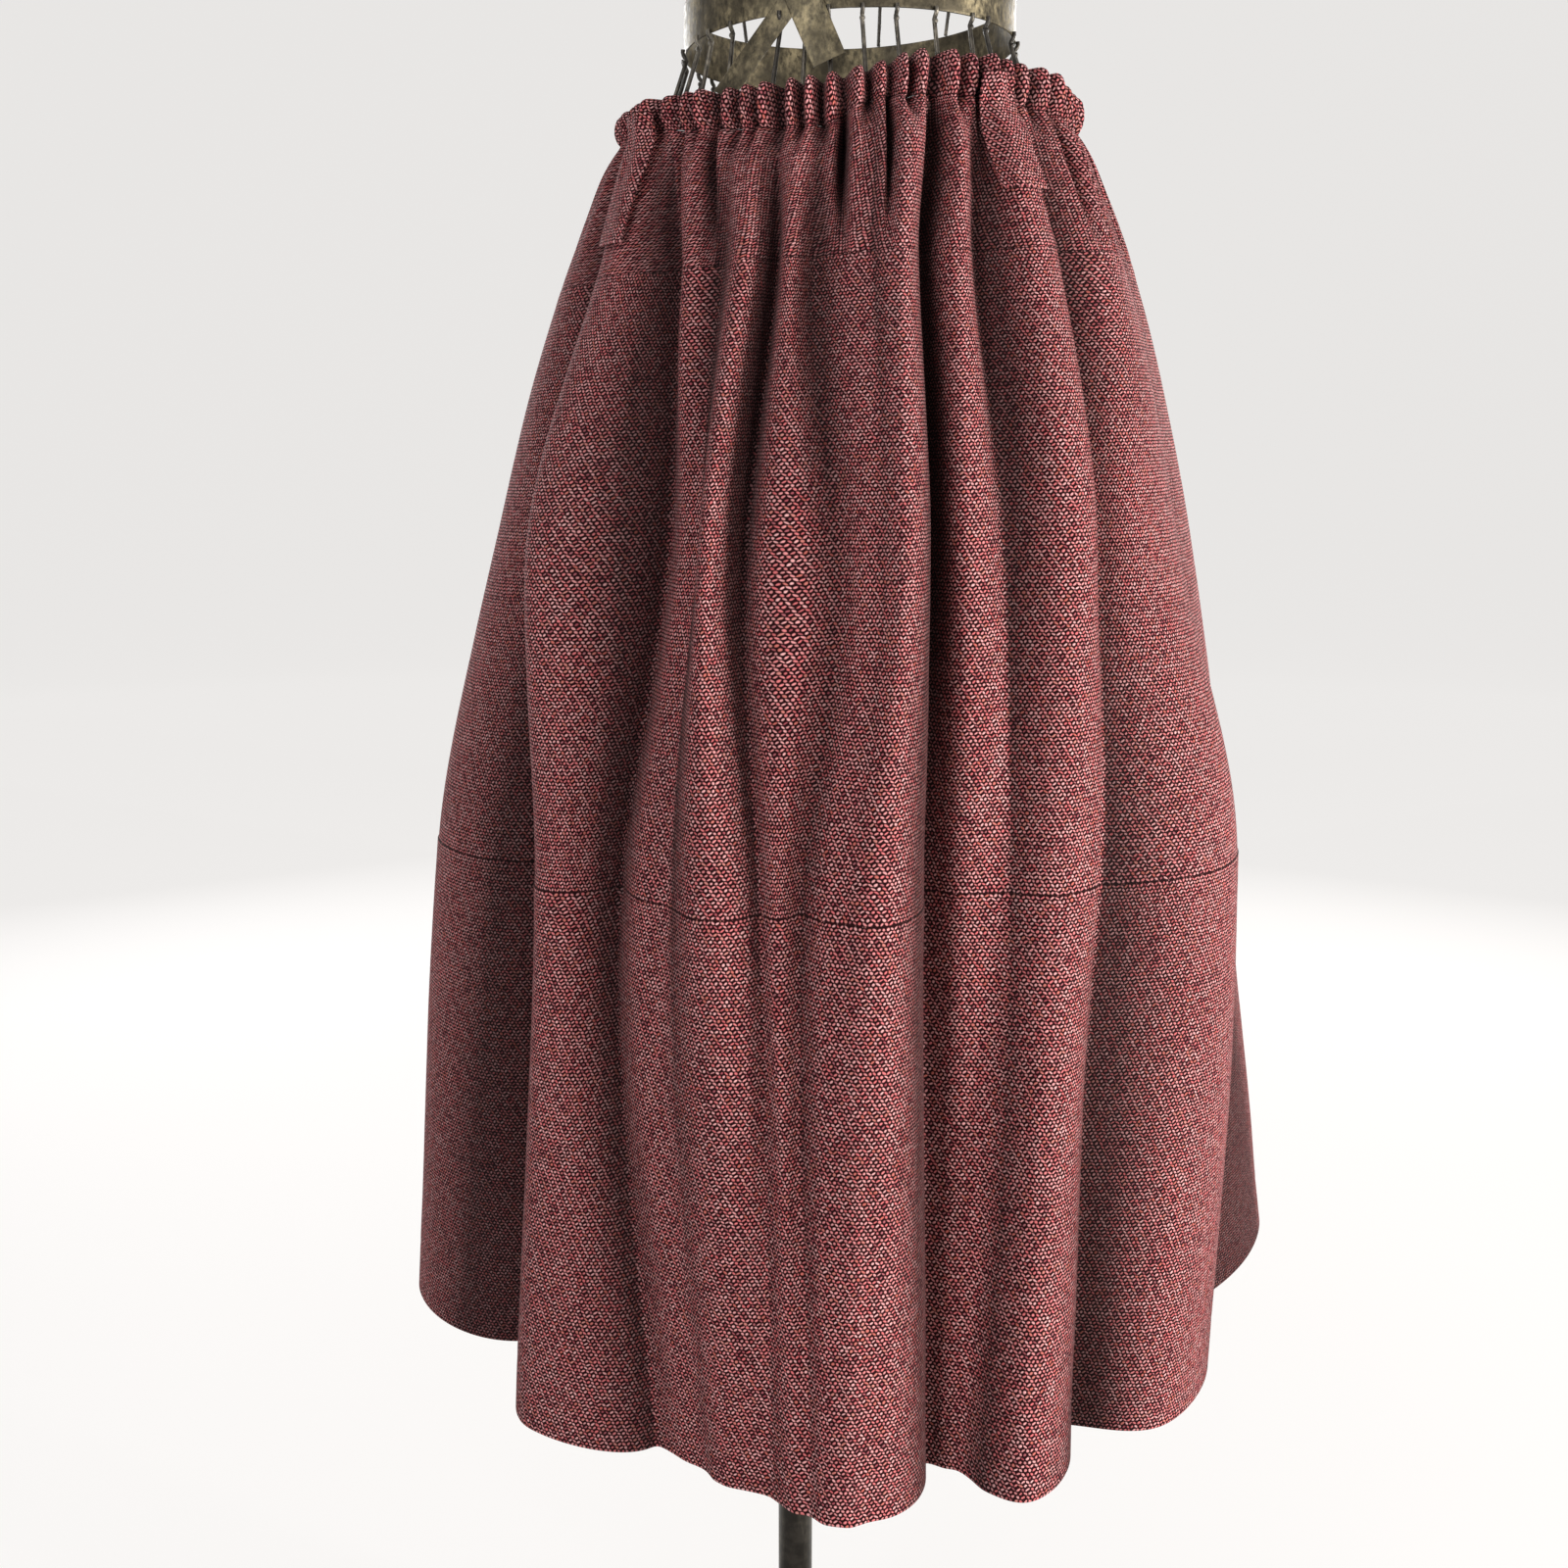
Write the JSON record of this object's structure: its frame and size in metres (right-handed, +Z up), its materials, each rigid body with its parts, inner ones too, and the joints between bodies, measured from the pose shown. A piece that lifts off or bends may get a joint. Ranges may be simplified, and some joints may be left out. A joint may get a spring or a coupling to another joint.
{
  "type": "skirt on a wire-cage dress form",
  "caption": "Knee-length gathered skirt in tiers with an elastic casing, thick barleycorn weave, on a wire-cage dress form.",
  "frame": {"origin": "centre of the underside of the round base, under the pole", "axes": "+Z up along the pole, the skirt's front faces -Y, the wearer's left side is +X"},
  "size_m": [0.5956, 0.5876, 1.5893],
  "materials": {
    "cloth": "thick barleycorn weave, matt",
    "belt_metal": "dark patina",
    "wire": "dark, aged",
    "stand_metal": "dark, aged",
    "wood": "dark stain"
  },
  "bodies": {
    "root": {"waist_casing": "cloth", "yoke_front": "cloth", "yoke_back": "cloth", "middle_tier_front": "cloth", "middle_tier_back": "cloth", "lower_tier_front": "cloth", "lower_tier_back": "cloth", "tuck_left": "cloth", "tuck_right": "cloth", "form_waist_band": "belt_metal", "form_strap_left": "belt_metal", "form_strap_right": "belt_metal", "form_hip_cage": "wire", "form_torso_cage": "wire", "form_neck_cap": "wood", "form_floor_plate": "wood", "form_pole": "stand_metal", "form_base": "stand_metal"}
  },
  "joints": []
}
